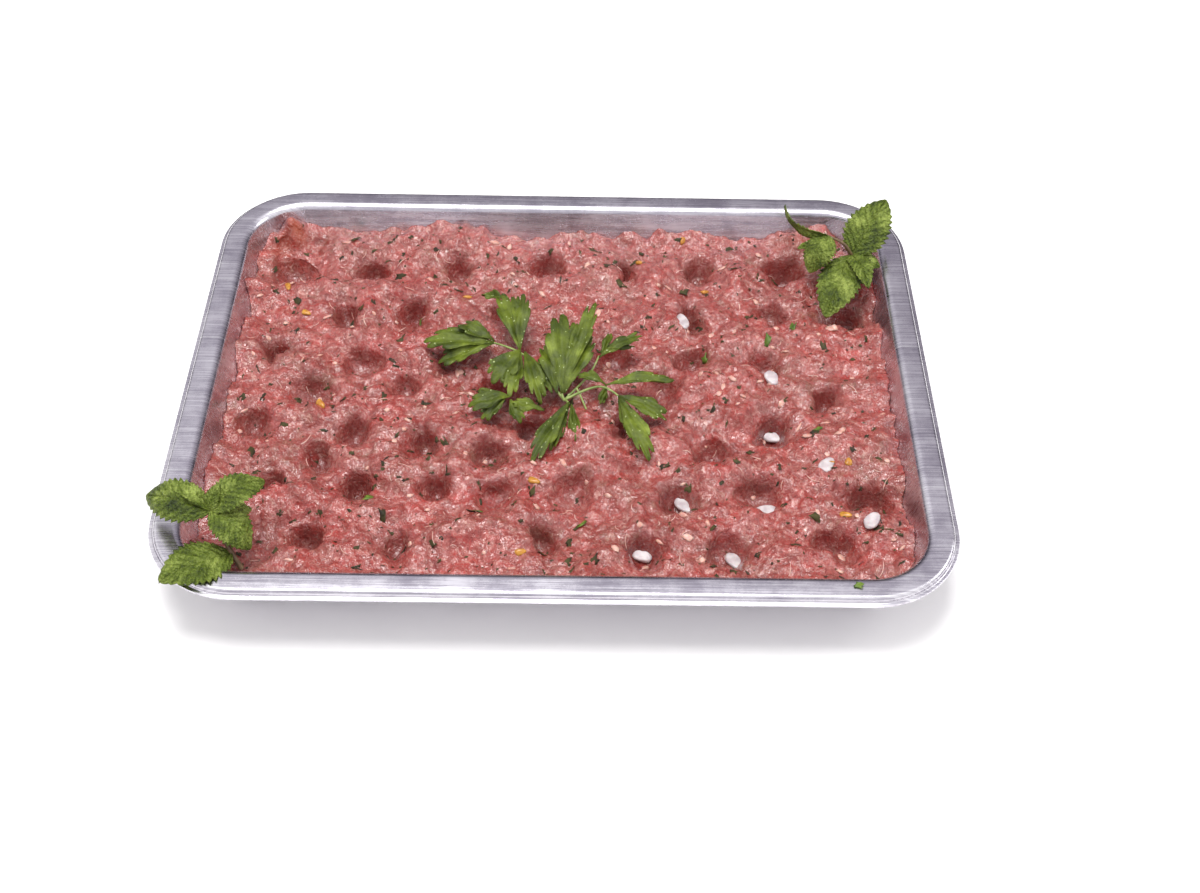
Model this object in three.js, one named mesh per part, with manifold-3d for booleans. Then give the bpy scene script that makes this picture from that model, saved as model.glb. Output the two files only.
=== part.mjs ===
// Raw kofta mince in a shallow aluminium tray, dressed with two mint tops and a parsley sprig.
//
// Millimetres, +Z up. X runs along the tray's long side, +Y to its back. The origin is the centre of
// the tray's underside, so the tray stands on z = 0. Every piece is one closed solid of its own:
// the pressed sheet tray, the slab of mince with its finger presses, and the three sprigs of herbs.
import * as THREE from "three";
import { mergeVertices } from "three/addons/utils/BufferGeometryUtils.js";
import Module from "manifold-3d";

const wasm = await Module();
wasm.setup();

const DEGREE = Math.PI / 180;

// ---- Driving dimensions ----

const TRAY = {
  width: 304, // over the lip, along X
  depth: 232, // over the lip, along Y
  height: 30, // from the table to the top of the flange
  cornerRadius: 36, // of the lip, in plan
  sheet: 1, // thickness of the metal
  lip: 1, // flat edge outside the flange
  lipFillet: 0.6,
  skirt: 0.3, // straight drop between the flange's outer bend and the lip's fillet
  skirtAngle: 80 * DEGREE,
  outerBend: 1.7,
  flange: 5.7, // flat top of the rim
  innerBend: 3.5,
  wallAngle: 72 * DEGREE, // from the horizontal
  floorFillet: 7,
};
const CORNER_STEPS = 6; // facets in each of the tray's corners
const BEND_STEPS = 2; // facets in each of the rim's outer bends
const INNER_BEND_STEPS = 3;
const FILLET_STEPS = 2; // facets in the fillet round its floor
const GAP = 0.35; // between two touching pieces

const MINCE = {
  level: 19.2, // height of the unpressed surface
  edgeInset: 15.8, // from the lip's outline to the edge of the top surface
  lowestEdge: 18.2, // the surface meets the wall no lower than this
  cell: 7, // spacing of the surface grid
  cornerCells: 4,
};

// Low swells that the palm leaves: their height and their length along each axis.
const SWELLS = [
  { height: 0.5, alongX: 17, alongY: 23, start: 0 },
  { height: 0.4, alongX: 9, alongY: -13, start: 1 },
  { height: 0.3, alongX: 31, alongY: 7, start: 0 },
];

// A fingertip leaves a narrow pit inside a wide, shallow dip. No two presses are quite alike.
const PRESS = {
  pitRadius: 6.4,
  pitDepth: 6,
  dipRadius: 12,
  dipDepth: 2.2,
  strayX: 1.5, // how far a press strays from its place in the row
  strayY: 3,
  widthChange: 0.12, // shares of the width and depth above
  depthChange: 0.2,
};

// Where the fingers went in: one row of presses for each line, from the back of the tray to the front.
const PRESS_ROWS = [
  { y: 78, xs: [-122, -86, -47, -8, 28, 62, 100] },
  { y: 47, xs: [-96, -64, -27, 55, 92, 122] },
  { y: 21, xs: [-123, -84, -46, 23, 56, 86] },
  { y: 2, xs: [-104, -65, -24, 45, 110] },
  { y: -20, xs: [-126, -82, -10, 28, 86] },
  { y: -32, xs: [-97, -57, -28, 62] },
  { y: -54, xs: [-112, -80, -47, -24, 8, 48, 80, 124] },
  { y: -80, xs: [-95, -60, -3, 33, 66, 108] },
];

// Mince left standing against the wall in the two back corners.
const CORNER_HEAPS = [
  { x: -126, y: 92, height: 5, radius: 10 },
  { x: 106, y: 96, height: 3, radius: 15 },
];

const LEAF_SHEET = 0.8; // thickness of a leaf
const LEAF_CLEARANCE = 0.8; // from a leaf's underside to the solid under it
const STEM_SIDES = 6;
const MINT_STEM_RADIUS = 1.1;
const PARSLEY_STEM_RADIUS = 0.8;
const MINT_STEPS = 6; // cells along a leaf
const LOBE_STEPS = 4;

// A sprig's leaves run from base to tip. They arch along their length, fold along their midrib and
// roll round it. A positive fold lifts a leaf's edges.

// The mint top that leans out over the front left corner.
const FRONT_CROWN = [-126, -86, 41];
const FRONT_NODE = [-119, -95, 27];
const FRONT_MINT = {
  stems: [[[-116, -97, 21], FRONT_NODE, [-123, -90, 34], FRONT_CROWN]],
  leaves: [
    { base: FRONT_CROWN, tip: [-151.5, -77, 38], width: 16, arch: 7, fold: -2, roll: -25 },
    { base: FRONT_CROWN, tip: [-107, -75, 42], width: 16, arch: 6, fold: -1, roll: 10 },
    { base: FRONT_CROWN, tip: [-112, -94, 29], width: 16, arch: 5, fold: -2 },
    { base: FRONT_CROWN, tip: [-114, -77, 32], width: 12, fold: -1 },
    { base: FRONT_CROWN, tip: [-141, -78, 44], width: 7, fold: 3 },
    { base: FRONT_CROWN, tip: [-123, -79, 48], width: 6 },
    { base: FRONT_NODE, tip: [-142, -111, 31], width: 21, arch: 3, fold: -1 },
  ],
};

// The mint top that lies against the back right corner.
const BACK_CROWN = [117, 75, 40];
const BACK_NODE = [127, 72, 32];
const BACK_MINT = {
  stems: [[[133, 76, 24], [130, 73, 29], BACK_NODE, [123, 73, 39], BACK_CROWN]],
  leaves: [
    { base: BACK_NODE, tip: [142, 91, 48], width: 22, arch: 3, fold: -2, roll: 5 },
    { base: BACK_NODE, tip: [114, 43, 22], width: 19, arch: 5, fold: -2 },
    { base: BACK_NODE, tip: [132, 51, 32], width: 10, arch: 3, fold: 1 },
    { base: BACK_NODE, tip: [139, 67, 30], width: 11, arch: 1 },
    { base: BACK_CROWN, tip: [108, 64, 29], width: 14, arch: 5, fold: -2 },
    { base: BACK_CROWN, tip: [103, 73, 35], width: 7, arch: 0 },
    { base: BACK_CROWN, tip: [99, 98, 39], width: 9, arch: -6, fold: 1, roll: 62 },
  ],
};

// The parsley sprig in the middle: each leaflet is a fan of lobes, joined at its base.
const ROOT = [2, -9, 22];
const LEFT_FORK = [-17, 15, 27];
const LEFT_END = [-31, 20, 26];
const CENTRE = [1, -7, 24];
const BACK_END = [16, 14, 27];
const RIGHT_FORK = [19, -4, 26];
const RIGHT_END = [23, -10, 25];
const FRONT_END = [4, -11, 24];
const PARSLEY = {
  stems: [
    [ROOT, [-8, 4, 26], LEFT_FORK, LEFT_END],
    [ROOT, [1, -6, 24]],
    [ROOT, [11, 0, 24], BACK_END],
    [ROOT, [11, -6, 26], RIGHT_FORK, RIGHT_END],
    [ROOT, [4, -12, 24]],
  ],
  leaves: [
    { base: LEFT_END, tip: [-58, 23, 25], width: 13 },
    { base: LEFT_END, tip: [-50, 12, 23], width: 11 },
    { base: LEFT_END, tip: [-41, 29, 28], width: 8 },
    { base: LEFT_FORK, tip: [-31, 41, 32], width: 12, arch: 4 },
    { base: LEFT_FORK, tip: [-16, 44, 33], width: 8, arch: 3 },
    { base: LEFT_FORK, tip: [-37, -15, 23], width: 10, arch: 3 },
    { base: LEFT_FORK, tip: [-31, -19, 22], width: 9, arch: 3 },
    { base: LEFT_FORK, tip: [-22, -17, 22], width: 9, arch: 3 },
    { base: LEFT_FORK, tip: [-15, -19, 22], width: 8, arch: 3 },
    { base: LEFT_FORK, tip: [-3, -10, 25], width: 9, arch: 3 },
    { base: LEFT_FORK, tip: [-4, -17, 22], width: 8, arch: 1 },
    { base: CENTRE, tip: [-1, 31, 33], width: 16, arch: 3 },
    { base: CENTRE, tip: [13, 34, 35], width: 15, arch: 3 },
    { base: CENTRE, tip: [-10, 13, 28], width: 8 },
    { base: BACK_END, tip: [21, 24, 29], width: 5 },
    { base: BACK_END, tip: [31, 19, 27], width: 5 },
    { base: BACK_END, tip: [34, 25, 28], width: 6 },
    { base: RIGHT_FORK, tip: [47, -1, 26], width: 6, arch: 4 },
    { base: RIGHT_FORK, tip: [7, -2, 28], width: 6 },
    { base: RIGHT_FORK, tip: [15, -9, 22], width: 4, arch: 0 },
    { base: RIGHT_END, tip: [37, -40, 21], width: 11 },
    { base: RIGHT_END, tip: [42, -31, 21], width: 8 },
    { base: RIGHT_END, tip: [43, -18, 22], width: 10 },
    { base: FRONT_END, tip: [-9, -41, 21], width: 9 },
    { base: FRONT_END, tip: [7, -31, 20], width: 5 },
    { base: FRONT_END, tip: [-2, -34, 20], width: 6 },
  ],
};

// ---- Shared helpers ----

// A repeatable number from -1 to 1 for any seed.
const wobble = (seed) => 2 * THREE.MathUtils.euclideanModulo(Math.sin(seed * 12.9898) * 43758.5453, 1) - 1;

function geometryOf(vertices, triangles) {
  const geometry = new THREE.BufferGeometry();
  geometry.setAttribute("position", new THREE.BufferAttribute(new Float32Array(vertices.flat()), 3));
  geometry.setIndex(triangles.flat());
  return geometry;
}

function solidOf(geometry) {
  const bare = geometry.clone();
  bare.deleteAttribute("normal");
  bare.deleteAttribute("uv");
  const merged = mergeVertices(bare, 1e-4);
  const mesh = new wasm.Mesh({
    numProp: 3,
    vertProperties: new Float32Array(merged.attributes.position.array),
    triVerts: new Uint32Array(merged.index.array),
  });
  return new wasm.Manifold(mesh);
}

function geometryOfSolid(solid) {
  const mesh = solid.getMesh();
  const geometry = new THREE.BufferGeometry();
  geometry.setAttribute("position", new THREE.BufferAttribute(new Float32Array(mesh.vertProperties), 3));
  geometry.setIndex(new THREE.BufferAttribute(new Uint32Array(mesh.triVerts), 1));
  return geometry;
}

// ---- The tray's pressed profile ----

// Walks the metal's upper face from the lip's edge inwards. s is the inset from the lip's outline and
// heading is the slope of the face; each point also carries its heading, for the sheet's lower face.
function trayProfile() {
  const lowestLip =
    TRAY.height -
    TRAY.lipFillet * (1 - Math.cos(TRAY.skirtAngle)) -
    TRAY.skirt * Math.sin(TRAY.skirtAngle) -
    TRAY.outerBend * (1 - Math.cos(TRAY.skirtAngle));
  const walk = [{ s: 0, z: lowestLip, heading: 0 }];
  const here = () => walk[walk.length - 1];
  const straight = (length) => {
    const { s, z, heading } = here();
    walk.push({ s: s + length * Math.cos(heading), z: z + length * Math.sin(heading), heading });
  };
  const bend = (radius, turn, steps) => {
    const chord = 2 * radius * Math.sin(Math.abs(turn) / steps / 2);
    for (let i = 0; i < steps; i++) {
      const { s, z, heading } = here();
      const along = heading + turn / steps / 2;
      walk.push({
        s: s + chord * Math.cos(along),
        z: z + chord * Math.sin(along),
        heading: heading + turn / steps,
      });
    }
  };
  straight(TRAY.lip);
  bend(TRAY.lipFillet, TRAY.skirtAngle, BEND_STEPS);
  straight(TRAY.skirt);
  bend(TRAY.outerBend, -TRAY.skirtAngle, BEND_STEPS);
  straight(TRAY.flange);
  bend(TRAY.innerBend, -TRAY.wallAngle, INNER_BEND_STEPS);
  const filletDrop = TRAY.floorFillet * (1 - Math.cos(TRAY.wallAngle));
  const wallDrop = here().z - TRAY.sheet - filletDrop;
  straight(wallDrop / Math.sin(TRAY.wallAngle));
  bend(TRAY.floorFillet, TRAY.wallAngle, FILLET_STEPS);
  return walk;
}

const PROFILE = trayProfile();
// The profile ends with the wall's top, the wall's foot and the points of the floor fillet.
const FILLET_POINTS = PROFILE.slice(-FILLET_STEPS - 1);
const WALL_TOP = PROFILE[PROFILE.length - FILLET_STEPS - 2];

// The rounded rectangle that lies s inside the lip's outline.
function outlineAt(s, z) {
  const radius = TRAY.cornerRadius - s;
  const centreX = TRAY.width / 2 - TRAY.cornerRadius;
  const centreY = TRAY.depth / 2 - TRAY.cornerRadius;
  const corners = [
    [1, 1],
    [-1, 1],
    [-1, -1],
    [1, -1],
  ];
  return corners.flatMap(([sideX, sideY], corner) =>
    Array.from({ length: CORNER_STEPS + 1 }, (_, i) => {
      const angle = (corner + i / CORNER_STEPS) * 90 * DEGREE;
      return [sideX * centreX + radius * Math.cos(angle), sideY * centreY + radius * Math.sin(angle), z];
    }),
  );
}

// How far a point lies inside the lip's outline, in plan. Negative outside it.
function insetOf(x, y) {
  const beyondX = Math.abs(x) - (TRAY.width / 2 - TRAY.cornerRadius);
  const beyondY = Math.abs(y) - (TRAY.depth / 2 - TRAY.cornerRadius);
  const outside = Math.hypot(Math.max(beyondX, 0), Math.max(beyondY, 0));
  const inside = Math.min(Math.max(beyondX, beyondY), 0);
  return TRAY.cornerRadius - outside - inside;
}

// Joins closed rings of equal length into one surface, and closes both ends with a fan.
function loftRings(rings) {
  const count = rings[0].length;
  const vertices = rings.flat();
  const triangles = [];
  for (let r = 0; r + 1 < rings.length; r++) {
    for (let i = 0; i < count; i++) {
      const next = (i + 1) % count;
      const [a, b, c, d] = [r * count + i, r * count + next, (r + 1) * count + next, (r + 1) * count + i];
      triangles.push([a, c, b], [a, d, c]);
    }
  }
  const closeEnd = (first, flip) => {
    const centre = vertices.length;
    vertices.push([0, 0, vertices[first][2]]);
    for (let i = 0; i < count; i++) {
      const edge = [first + i, first + ((i + 1) % count)];
      triangles.push(flip ? [edge[1], edge[0], centre] : [edge[0], edge[1], centre]);
    }
  };
  closeEnd(0, false);
  closeEnd((rings.length - 1) * count, true);
  return geometryOf(vertices, triangles);
}

function trayGeometry() {
  const upper = PROFILE.map(({ s, z }) => outlineAt(s, z)).reverse();
  const lower = PROFILE.map(({ s, z, heading }) =>
    outlineAt(s + TRAY.sheet * Math.sin(heading), z - TRAY.sheet * Math.cos(heading)),
  );
  return loftRings([...upper, ...lower]);
}

// ---- The slab of mince ----

// Every press, with its own small change of place, width and depth.
const presses = PRESS_ROWS.flatMap(({ y, xs }, row) =>
  xs.map((x, i) => {
    const seed = 10 * row + i + 1;
    return {
      x: x + PRESS.strayX * wobble(seed),
      y: y + PRESS.strayY * wobble(seed + 0.3),
      width: 1 + PRESS.widthChange * wobble(seed + 0.5),
      depth: 1 + PRESS.depthChange * wobble(seed + 0.7),
    };
  }),
);

function minceHeight(x, y) {
  let z = MINCE.level;
  for (const { height, alongX, alongY, start } of SWELLS) {
    z += height * Math.sin(x / alongX + y / alongY + start);
  }
  for (const heap of CORNER_HEAPS) {
    z += heap.height * Math.exp(-(((x - heap.x) ** 2 + (y - heap.y) ** 2) / heap.radius ** 2));
  }
  for (const press of presses) {
    const distance = Math.hypot(x - press.x, y - press.y);
    const pit = Math.exp(-((distance / (PRESS.pitRadius * press.width)) ** 3));
    const dip = Math.exp(-((distance / PRESS.dipRadius) ** 2));
    z -= press.depth * (PRESS.pitDepth * pit + PRESS.dipDepth * dip);
  }
  return z;
}

// Grid lines over one side of the slab, closer together over its rounded corners.
function gridLines(half, radius) {
  const straight = half - radius;
  const cells = Math.round((2 * straight) / MINCE.cell);
  const cornerCell = radius / MINCE.cornerCells;
  const corner = Array.from({ length: MINCE.cornerCells }, (_, i) => half - i * cornerCell);
  const middle = Array.from({ length: cells + 1 }, (_, i) => -straight + (2 * straight * i) / cells);
  return [...corner.map((v) => -v), ...middle, ...corner.reverse()];
}

// Draws a square corner of the grid in to a quarter circle, leaving its two inner sides where they are.
function roundCorner(x, y, halfX, halfY, radius) {
  const p = (Math.abs(x) - (halfX - radius)) / radius;
  const q = (Math.abs(y) - (halfY - radius)) / radius;
  if (p <= 0 || q <= 0) return [x, y];
  return [
    Math.sign(x) * (halfX - radius + radius * p * Math.sqrt(1 - (q * q) / 2)),
    Math.sign(y) * (halfY - radius + radius * q * Math.sqrt(1 - (p * p) / 2)),
  ];
}

// Moves a point of the slab's edge inwards, square to the edge.
function insetPoint([x, y], by) {
  const centreX = TRAY.width / 2 - TRAY.cornerRadius;
  const centreY = TRAY.depth / 2 - TRAY.cornerRadius;
  const towards = new THREE.Vector2(
    Math.sign(x) * Math.max(Math.abs(x) - centreX, 0),
    Math.sign(y) * Math.max(Math.abs(y) - centreY, 0),
  ).normalize();
  return [x - towards.x * by, y - towards.y * by];
}

// The top surface as a grid: its vertices, its triangles and the ring of indices round its edge.
function minceTop() {
  const halfX = TRAY.width / 2 - MINCE.edgeInset;
  const halfY = TRAY.depth / 2 - MINCE.edgeInset;
  const radius = TRAY.cornerRadius - MINCE.edgeInset;
  const linesX = gridLines(halfX, radius);
  const linesY = gridLines(halfY, radius);
  const lastX = linesX.length - 1;
  const lastY = linesY.length - 1;
  const at = (i, j) => j * linesX.length + i;
  const vertices = linesY.flatMap((gridY, j) =>
    linesX.map((gridX, i) => {
      const [x, y] = roundCorner(gridX, gridY, halfX, halfY, radius);
      const onEdge = i === 0 || j === 0 || i === lastX || j === lastY;
      const z = minceHeight(x, y);
      return [x, y, onEdge ? Math.max(z, MINCE.lowestEdge) : z];
    }),
  );
  const triangles = [];
  for (let j = 0; j < lastY; j++) {
    for (let i = 0; i < lastX; i++) {
      triangles.push([at(i, j), at(i + 1, j), at(i + 1, j + 1)], [at(i, j), at(i + 1, j + 1), at(i, j + 1)]);
    }
  }
  const edge = [
    ...linesX.slice(0, -1).map((_, i) => at(i, 0)),
    ...linesY.slice(0, -1).map((_, j) => at(lastX, j)),
    ...linesX.slice(1).map((_, i) => at(lastX - i, lastY)),
    ...linesY.slice(1).map((_, j) => at(0, lastY - j)),
  ];
  return { vertices, triangles, edge };
}

// The slab: from the edge of its top, the sides follow the tray's wall and floor fillet down.
function minceGeometry() {
  const { vertices, triangles, edge } = minceTop();
  let above = edge;
  for (const { s, z, heading } of FILLET_POINTS) {
    const inset = s - GAP * Math.sin(heading) - MINCE.edgeInset;
    const below = edge.map((index) => {
      vertices.push([...insetPoint(vertices[index], inset), z + GAP * Math.cos(heading)]);
      return vertices.length - 1;
    });
    above.forEach((a, i) => {
      const next = (i + 1) % above.length;
      triangles.push([a, below[i], below[next]], [a, below[next], above[next]]);
    });
    above = below;
  }
  const centre = vertices.push([0, 0, vertices[above[0]][2]]) - 1;
  above.forEach((a, i) => triangles.push([a, centre, above[(i + 1) % above.length]]));
  return geometryOf(vertices, triangles);
}

// ---- Herbs ----

// The highest solid under a point: the mince, the tray's wall or its flange. Nothing outside the tray.
function groundHeight(x, y) {
  const s = insetOf(x, y);
  if (s < -1) return 0;
  if (s < WALL_TOP.s) return TRAY.height;
  const wall = WALL_TOP.z - (s - WALL_TOP.s) * Math.tan(TRAY.wallAngle);
  return Math.max(wall, minceHeight(x, y));
}

// Gives a grid of points thickness, as one closed sheet. rows is a list of rows of Vector3.
function bladeSolid(rows) {
  const lastRow = rows.length - 1;
  const lastColumn = rows[0].length - 1;
  const normalAt = (i, j) => {
    const along = rows[Math.min(i + 1, lastRow)][j].clone().sub(rows[Math.max(i - 1, 0)][j]);
    const across = rows[i][Math.min(j + 1, lastColumn)].clone().sub(rows[i][Math.max(j - 1, 0)]);
    return along.cross(across).normalize();
  };
  const face = (offset) =>
    rows.flatMap((row, i) => row.map((p, j) => p.clone().addScaledVector(normalAt(i, j), offset).toArray()));
  const vertices = [...face(LEAF_SHEET / 2), ...face(-LEAF_SHEET / 2)];
  const columns = lastColumn + 1;
  const at = (side, i, j) => side * rows.length * columns + i * columns + j;
  const triangles = [];
  for (let i = 0; i < lastRow; i++) {
    for (let j = 0; j < lastColumn; j++) {
      const cell = [[i, j], [i + 1, j], [i + 1, j + 1], [i, j + 1]];
      const [a, b, c, d] = cell.map(([row, column]) => at(0, row, column));
      const [e, f, g, h] = cell.map(([row, column]) => at(1, row, column));
      triangles.push([a, b, c], [a, c, d], [e, g, f], [e, h, g]);
    }
  }
  const rim = [
    ...rows.slice(0, -1).map((_, i) => [i, 0]),
    ...rows[0].slice(0, -1).map((_, j) => [lastRow, j]),
    ...rows.slice(1).map((_, i) => [lastRow - i, lastColumn]),
    ...rows[0].slice(1).map((_, j) => [0, lastColumn - j]),
  ];
  rim.forEach(([i, j], k) => {
    const [nextI, nextJ] = rim[(k + 1) % rim.length];
    const [a, b, c, d] = [at(0, i, j), at(1, i, j), at(1, nextI, nextJ), at(0, nextI, nextJ)];
    triangles.push([a, b, c], [a, c, d]);
  });
  return solidOf(geometryOf(vertices, triangles));
}

// A leaf's own axes: along runs from its stalk to its tip, side across it, and up out of its face.
function leafAxes({ base, tip, roll = 0 }) {
  const from = new THREE.Vector3(...base);
  const along = new THREE.Vector3(...tip).sub(from);
  const length = along.length();
  along.divideScalar(length);
  const level = new THREE.Vector3(0, 0, 1).cross(along).normalize();
  const side = level.applyAxisAngle(along, roll * DEGREE);
  const up = along.clone().cross(side).normalize();
  return { from, along, side, up, length };
}

function liftClear(point) {
  const lowest = groundHeight(point.x, point.y) + LEAF_CLEARANCE + LEAF_SHEET / 2;
  point.z = Math.max(point.z, lowest);
  return point;
}

// Half the width of a mint leaf, as a share of its widest, at t from stalk (0) to tip (1): an oval,
// fuller near its stalk, that never narrows to nothing.
const MINT_SKEW = 0.8;
const MINT_FULLNESS = 0.85;
const MINT_POINT = 0.06;
const mintOutline = (t) => Math.max(Math.sin(Math.PI * t ** MINT_SKEW) ** MINT_FULLNESS, MINT_POINT);

// The same for a lobe of parsley: a wedge that widens to its last quarter and ends in a blunt point.
const LOBE_SPREAD = 1.9;
const LOBE_TAPER = 4;
const LOBE_POINT = 0.1;
const lobeOutline = (t) => Math.max(Math.min(Math.sin(LOBE_SPREAD * t), LOBE_TAPER * (1 - t)), LOBE_POINT);

// One leaf as a solid. The grid's columns are given as shares of its half width.
function leafSolid(leaf, outline, lengthSteps, columns) {
  const { from, along, side, up, length } = leafAxes(leaf);
  const { width, arch = 2, fold = 0 } = leaf;
  const rows = Array.from({ length: lengthSteps + 1 }, (_, i) => {
    const t = i / lengthSteps;
    const share = outline(t);
    return columns.map((across) =>
      liftClear(
        from
          .clone()
          .addScaledVector(along, t * length)
          .addScaledVector(side, across * share * (width / 2))
          .addScaledVector(up, arch * 4 * t * (1 - t) + fold * Math.abs(across) * share),
      ),
    );
  });
  return bladeSolid(rows);
}

const mintLeaf = (leaf) => leafSolid(leaf, mintOutline, MINT_STEPS, [-1, 0, 1]);
const parsleyLobe = (lobe) => leafSolid(lobe, lobeOutline, LOBE_STEPS, [-1, 1]);

// A round stem through the given points.
function stem(points, radius) {
  const path = new THREE.CatmullRomCurve3(points.map((p) => liftClear(new THREE.Vector3(...p))));
  const section = new THREE.Shape(
    Array.from({ length: STEM_SIDES }, (_, i) => {
      const angle = (i * 2 * Math.PI) / STEM_SIDES;
      return new THREE.Vector2(radius * Math.cos(angle), radius * Math.sin(angle));
    }),
  );
  const steps = 2 * (points.length - 1);
  return solidOf(new THREE.ExtrudeGeometry(section, { steps, bevelEnabled: false, extrudePath: path }));
}

// Joins a sprig's stems and leaves, keeps them clear of the mince, and drops any cut-off sliver.
function sprigGeometry(sprig, stemRadius, leafOf, mince) {
  const stems = sprig.stems.map((points) => stem(points, stemRadius));
  const whole = [...stems, ...sprig.leaves.map(leafOf)].reduce((sum, piece) => sum.add(piece));
  const clear = whole.subtract(mince.translate([0, 0, GAP]));
  const largest = clear.decompose().reduce((a, b) => (a.volume() > b.volume() ? a : b));
  return geometryOfSolid(largest);
}

// ---- The object ----

const FINISHES = {
  aluminium: { color: "#c9c7cf", roughness: 0.35, metalness: 1 },
  raw_mince: { color: "#b9645f", roughness: 0.45, metalness: 0 },
  mint_leaf: { color: "#5f8f2e", roughness: 0.55, metalness: 0 },
  parsley_leaf: { color: "#6f9a3c", roughness: 0.5, metalness: 0 },
};

function piece(name, finish, geometry) {
  const mesh = new THREE.Mesh(geometry, new THREE.MeshStandardMaterial(FINISHES[finish]));
  mesh.name = name;
  return mesh;
}

const slab = minceGeometry();
const slabSolid = solidOf(slab);
const frontMint = sprigGeometry(FRONT_MINT, MINT_STEM_RADIUS, mintLeaf, slabSolid);
const backMint = sprigGeometry(BACK_MINT, MINT_STEM_RADIUS, mintLeaf, slabSolid);
const parsley = sprigGeometry(PARSLEY, PARSLEY_STEM_RADIUS, parsleyLobe, slabSolid);

const kofta = new THREE.Group();
kofta.add(piece("tray", "aluminium", trayGeometry()));
kofta.add(piece("mince", "raw_mince", slab));
kofta.add(piece("mint_front", "mint_leaf", frontMint));
kofta.add(piece("mint_back", "mint_leaf", backMint));
kofta.add(piece("parsley", "parsley_leaf", parsley));

export default kofta;
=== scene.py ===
# %% [markdown]
# # A tray of raw kofta mince
#
# The object is a shallow aluminium tray, filled with raw minced meat that fingertips have dimpled,
# and dressed with two mint tops and a sprig of parsley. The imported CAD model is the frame: it gives
# every piece its place and its size. Here each plain solid is replaced by a finished piece.

# %% Load the frame
import random
from math import copysign, cos, exp, hypot, pi, radians, sin, sqrt, tan

import bmesh
import bpy
import numpy as np
from mathutils import Matrix, Vector, noise
from mathutils.bvhtree import BVHTree


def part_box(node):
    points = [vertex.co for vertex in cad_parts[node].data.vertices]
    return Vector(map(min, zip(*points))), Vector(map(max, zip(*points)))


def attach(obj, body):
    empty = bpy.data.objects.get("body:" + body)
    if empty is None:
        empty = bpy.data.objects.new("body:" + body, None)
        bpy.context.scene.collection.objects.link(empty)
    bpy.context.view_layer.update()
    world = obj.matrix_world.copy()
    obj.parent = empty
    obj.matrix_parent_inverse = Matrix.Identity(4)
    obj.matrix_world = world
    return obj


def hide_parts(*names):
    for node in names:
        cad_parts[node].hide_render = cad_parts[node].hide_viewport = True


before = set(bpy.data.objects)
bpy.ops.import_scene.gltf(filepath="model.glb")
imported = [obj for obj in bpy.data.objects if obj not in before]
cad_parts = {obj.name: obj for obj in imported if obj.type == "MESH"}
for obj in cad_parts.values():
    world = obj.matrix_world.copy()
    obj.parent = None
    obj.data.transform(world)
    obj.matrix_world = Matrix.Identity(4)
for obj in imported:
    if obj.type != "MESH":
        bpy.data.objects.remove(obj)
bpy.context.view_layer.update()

MM = 0.001
BODY = "root"
noise.seed_set(7)  # without a seed, noise vectors are different on every run

# %% [markdown]
# ## Working by hand, from a script
#
# Blender's operators act on what is selected. Loading the frame leaves its nodes selected, so every
# step starts by selecting one object alone. In edit mode, the faces or edges to work on are then
# picked by their place.


# %% Helpers for objects and edit mode
def only(piece):
    """Selects one object alone and makes it the active one."""
    bpy.ops.object.select_all(action="DESELECT")
    piece.select_set(True)
    bpy.context.view_layer.objects.active = piece
    return piece


def started(name):
    """Names the primitive that was just added, and applies its size and place to its mesh."""
    piece = bpy.context.object
    piece.name = piece.data.name = name
    bpy.ops.object.transform_apply(location=True, rotation=True, scale=True)
    return piece


def pick(piece, elements, test):
    """In edit mode, selects those vertices, edges or faces that pass the test."""
    kinds = {"verts": "VERT", "edges": "EDGE", "faces": "FACE"}
    bpy.ops.mesh.select_mode(type=kinds[elements])
    bpy.ops.mesh.select_all(action="DESELECT")
    work = bmesh.from_edit_mesh(piece.data)
    for element in getattr(work, elements):
        if test(element):
            element.select_set(True)
    work.select_flush_mode()
    bmesh.update_edit_mesh(piece.data)


def finish_with(piece, kind, **settings):
    """Adds one modifier and applies it."""
    only(piece)
    modifier = piece.modifiers.new(kind.title(), kind)
    for name, value in settings.items():
        setattr(modifier, name, value)
    bpy.ops.object.modifier_apply(modifier=modifier.name)


def report(piece):
    """Prints a piece's size in millimetres and its triangles."""
    piece.data.calc_loop_triangles()
    size = " x ".join(f"{side / MM:.1f}" for side in piece.dimensions)
    print(f"{piece.name}: {size} mm, {len(piece.data.loop_triangles)} triangles")


# %% [markdown]
# ## Colours and nodes
#
# Colours are written as the usual sRGB hex codes, which the shader wants as linear numbers. One
# helper adds a shader node with its settings and its links. The short ones after it build on that,
# so that each material reads as a row of steps.


# %% Helpers for materials
def colour(code):
    """An sRGB hex code as a linear colour with alpha."""
    channels = [int(code[i:i + 2], 16) / 255 for i in (1, 3, 5)]
    linear = [c / 12.92 if c <= 0.04045 else ((c + 0.055) / 1.055) ** 2.4 for c in channels]
    return (*linear, 1.0)


def feed(tree, node, inputs):
    """Sets a node's inputs. Each is a value or another node's output."""
    for socket, value in inputs.items():
        if isinstance(value, bpy.types.NodeSocket):
            tree.links.new(value, node.inputs[socket])
        else:
            node.inputs[socket].default_value = value


def add(tree, kind, inputs, stops=(), **settings):
    """Adds a node with its settings and inputs; stops are a colour ramp's."""
    made = tree.nodes.new(kind)
    for name, value in settings.items():
        setattr(made, name, value)
    feed(tree, made, inputs)
    for i, (position, code) in enumerate(stops):
        elements = made.color_ramp.elements
        stop = elements[i] if i < 2 else elements.new(position)
        stop.position = position
        stop.color = colour(code)
    return made


def calc(tree, operation, *numbers):
    """A sum on numbers."""
    return add(tree, "ShaderNodeMath", dict(enumerate(numbers)), operation=operation).outputs[0]


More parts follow.
